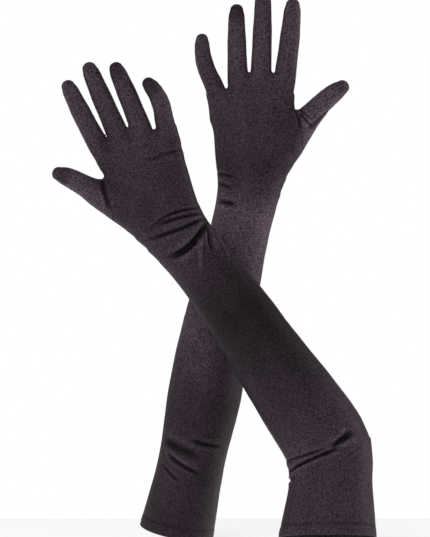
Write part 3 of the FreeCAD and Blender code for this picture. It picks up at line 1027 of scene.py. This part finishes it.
def build_glove(name):
    """Every piece of one glove; some ride on their bodies, the rest are baked in place."""
    glove = Glove(name)
    plan = CutPlan(glove)
    points, quads = glove_field(glove).mesh()
    points = creased(glove, smooth(points, quads, 4), quads)
    points, faces, labels = cut_surface(glove, plan, smooth(points, quads, 1), quads)
    normals = mesh_normals(points, faces)
    points, painted_shade = pressed_seams(points, faces, labels, normals, painted_cloth_shade(glove, points))
    normals = mesh_normals(points, faces)
    surface = Surface(glove, points, faces)
    body = {part: f"{name}_{part}" for part in ("upper", "forearm", "palm") + DIGIT_NAMES}

    def ride(part):
        return lambda item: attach(item, body[part])

    def bend_at_elbow(item):
        middle = unit(glove.upper_axis + glove.fore_axis) * SLEEVE_ZONE
        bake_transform(item)

    def bend_at_wrist(item):
        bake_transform(item)

    def bend_at_digit():
        return lambda item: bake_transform(item)

    def finish(item, node, move):
        move(item)
        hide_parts(f"{name}_{node}")

    def add_thread(node, move, points, faces):
        finish(new_object(f"{name}_{node}_thread", points, faces, thread), node, move)

    moves = {"sleeve": ("upper_sleeve", bend_at_elbow), "forearm": ("forearm_sleeve", bend_at_wrist),
             "hand": ("hand", ride("palm")), "thumb": ("thumb", bend_at_digit())}
    for finger in FINGERS:
        moves[finger] = (f"{finger}_finger", bend_at_digit())
    for gusset in plan.gussets:
        moves[gusset.name] = (gusset.name, bend_at_digit())
    for label, (node, move) in moves.items():
        chosen = [face for face, mine in zip(faces, labels == label) if mine]
        finish(shell(f"{name}_{node}_cloth", points, normals, painted_shade, chosen, satin), node, move)

    heights = (np.array([points[face].mean(0) for face in faces]) - glove.hem) @ glove.upper_axis
    turned_up = [face for face, low in zip(faces, heights < BAND * MM) if low]
    band = shell(f"{name}_hem_band_cloth", points, normals, painted_shade, turned_up, satin, drop=CLOTH + BAND_GAP)
    finish(band, "hem_band", ride("upper"))

    parts = []
    turn = STITCH_LENGTH / 2 / (math.pi * HEM_ACROSS * MM) * 360
    for number in range(STITCHES):
        angle = 360 * number / STITCHES
        start, end = surface.at(HEM_ROW, angle - turn), surface.at(HEM_ROW, angle + turn)
        parts.append(cord([start + (end - start) * share for share in STITCH_BEND], THREAD * 0.8, 5))
    add_thread("hem_stitches", ride("upper"), *joined(parts))

    middle = (glove.upper_length + glove.fore_length * FOREARM_SPLIT) / MM
    hand = (glove.upper_length + glove.fore_length + WRIST_ZONE + HAND_START) / MM
    top = (glove.upper_length + glove.fore_length) / MM + SIDE_SEAM_END
    for low, high, node, move in (
        (1.0, middle, "upper_side_seam", bend_at_elbow),
        (middle, hand, "forearm_side_seam", bend_at_wrist),
        (hand, top, "hand_side_seam", ride("palm")),
    ):
        steps = np.linspace(low, high, max(8, int((high - low) / SIDE_SEAM_STEP)))
        path = np.array([surface.at(step, -glove.side * SIDE_SEAM_ANGLE) for step in steps])
        add_thread(node, move, *cord(eased_path(path, 2, False), THREAD))

    loop = eased_path(edge_loop(faces, labels, points, "thumb")[:-1], 6, True)
    add_thread("thumb_seam", ride("palm"), *cord(np.vstack([loop, loop[:1]])[::2], THREAD))


for glove_name in ("left", "right"):
    build_glove(glove_name)


# ---- floor, light and camera

# A matt floor that stays close to the white of the backdrop.
floor_material, tree, shader = new_material("pale_floor")
speckle = add_node(tree, "TexNoise", {"Scale": 40.0})
connect(tree, shader, {
    "Base Color": add_ramp(tree, speckle, (0.0, 0.86), (1.0, 0.92)),
    "Roughness": 0.9,
    "Specular IOR Level": 0.1,
    "Emission Color": (1, 1, 1, 1),
    "Emission Strength": 0.55,
})
floor_mesh = bpy.data.meshes.new("floor")
floor_mesh.from_pydata([(-1.2, -0.8, 0), (1.2, -0.8, 0), (1.2, 0.5, 0), (-1.2, 0.5, 0)], [], [(0, 1, 2, 3)])
floor_mesh.materials.append(floor_material)
floor = add_object("floor", floor_mesh)
floor.location.z = -1.5 * MM

# A white backdrop for the camera that gives the gloves only a low, even light.
world = bpy.data.worlds.new("studio")
bpy.context.scene.world = world
world.use_nodes = True
sky = world.node_tree
seen = add_node(sky, "LightPath", output="Is Camera Ray")
strength = add_node(sky, "MapRange", {"Value": seen, "To Min": 0.28, "To Max": 1.0}, "Result")
connect(sky, sky.nodes["Background"], {"Color": (1, 1, 1, 1), "Strength": strength})

CENTRE = (0.00345, 0.0, 0.2734)  # what the camera and the lights are aimed at
for light_name, position, width, height, watts in (
    ("key", (-0.55, -2.2, 1.15), 1.4, 1.1, 16),
    ("left_strip", (-1.3, -0.3, 0.5), 0.4, 1.2, 2.5),
    ("right_strip", (1.3, 0.1, 0.5), 0.4, 1.2, 5),
):
    light = bpy.data.lights.new(light_name, "AREA")
    light.shape = "RECTANGLE"
    light.size, light.size_y, light.energy = width, height, watts
    softbox = add_object(light_name, light)
    softbox.location = position
    softbox.rotation_euler = (Vector(CENTRE) - Vector(position)).to_track_quat("-Z", "Y").to_euler()

CAMERA_DISTANCE = 5.0
FRAME_HEIGHT = 0.537  # metres that the picture is high at the gloves
camera_data = bpy.data.cameras.new("camera")
camera_data.sensor_fit = "VERTICAL"
camera_data.sensor_height = 24.0
camera_data.lens = 24.0 * CAMERA_DISTANCE / FRAME_HEIGHT
camera = add_object("camera", camera_data)
camera.location = (CENTRE[0], -CAMERA_DISTANCE, CENTRE[2])
camera.rotation_euler = (math.pi / 2, 0, 0)
bpy.context.scene.camera = camera
bpy.context.scene.view_settings.view_transform = "Standard"
